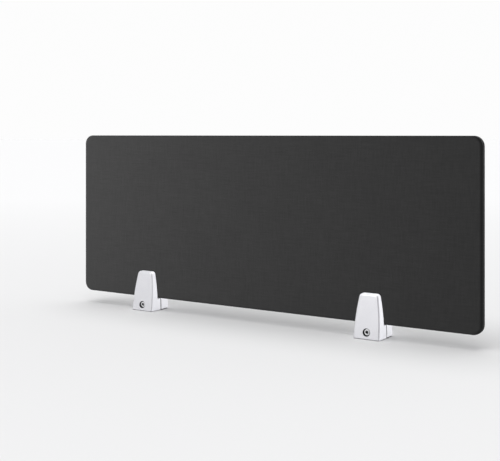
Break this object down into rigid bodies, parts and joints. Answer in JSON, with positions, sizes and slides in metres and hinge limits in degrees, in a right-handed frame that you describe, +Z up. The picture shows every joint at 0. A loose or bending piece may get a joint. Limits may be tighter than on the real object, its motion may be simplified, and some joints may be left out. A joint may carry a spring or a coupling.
{
  "type": "desk privacy panel",
  "caption": "Fabric-covered desk screen with rounded corners, held upright on a desktop by two tapered two-jaw screw clamps.",
  "frame": {"origin": "on the desktop plane, under the middle of the assembly's box: the middle of the panel's width and halfway between the clamps' front and rear feet", "axes": "+X along the panel to the right as seen from the screw side, +Y from the screw side to the back, +Z up"},
  "size_m": [0.8, 0.051, 0.322],
  "materials": {
    "fabric": "matte woven charcoal polyester",
    "foam": "open-cell polyether foam sheet",
    "core_board": "raw medium-density fibreboard",
    "coated_casting": "satin white-silver powder coat on a die casting",
    "screw_steel": "bright zinc",
    "dowel_steel": "ground",
    "pad_rubber": "matte black"
  },
  "bodies": {
    "left_clamp": {"left_rear_jaw": "coated_casting", "left_guide_pins": "dowel_steel", "left_rear_pad": "pad_rubber", "left_seat_pad": "pad_rubber", "left_foot_pad": "pad_rubber"},
    "left_front_jaw": {"left_front_jaw": "coated_casting", "left_front_pad": "pad_rubber"},
    "left_screw": {"left_clamp_screw": "screw_steel"},
    "panel": {"panel_core": "core_board", "front_foam": "foam", "rear_foam": "foam", "front_fabric": "fabric", "rear_fabric": "fabric"},
    "right_clamp": {"right_rear_jaw": "coated_casting", "right_guide_pins": "dowel_steel", "right_rear_pad": "pad_rubber", "right_seat_pad": "pad_rubber", "right_foot_pad": "pad_rubber"},
    "right_front_jaw": {"right_front_jaw": "coated_casting", "right_front_pad": "pad_rubber"},
    "right_screw": {"right_clamp_screw": "screw_steel"}
  },
  "joints": [
    {"name": "left_jaw_slide", "type": "slide", "parent": "left_clamp", "child": "left_front_jaw", "axis": [0, -1, 0], "range_m": [0, 0.006]},
    {"name": "left_screw_turn", "type": "hinge", "parent": "left_front_jaw", "child": "left_screw", "pos_m": [-0.24, -0.0255, 0.011], "axis": [0, -1, 0], "range_deg": [0, 2160]},
    {"name": "panel_lift", "type": "slide", "parent": "left_clamp", "child": "panel", "axis": [0, 0, 1], "range_m": [0, 0.06]},
    {"name": "right_clamp_slide", "type": "slide", "parent": "left_clamp", "child": "right_clamp", "axis": [1, 0, 0], "range_m": [-0.3825, 0.1475]},
    {"name": "right_jaw_slide", "type": "slide", "parent": "right_clamp", "child": "right_front_jaw", "axis": [0, -1, 0], "range_m": [0, 0.006]},
    {"name": "right_screw_turn", "type": "hinge", "parent": "right_front_jaw", "child": "right_screw", "pos_m": [0.2175, -0.0255, 0.011], "axis": [0, -1, 0], "range_deg": [0, 2160]}
  ],
  "couplings": [
    {"joint": "left_screw_turn", "follows": "left_jaw_slide", "rad_per_m": 6283.2},
    {"joint": "right_screw_turn", "follows": "right_jaw_slide", "rad_per_m": 6283.2}
  ]
}
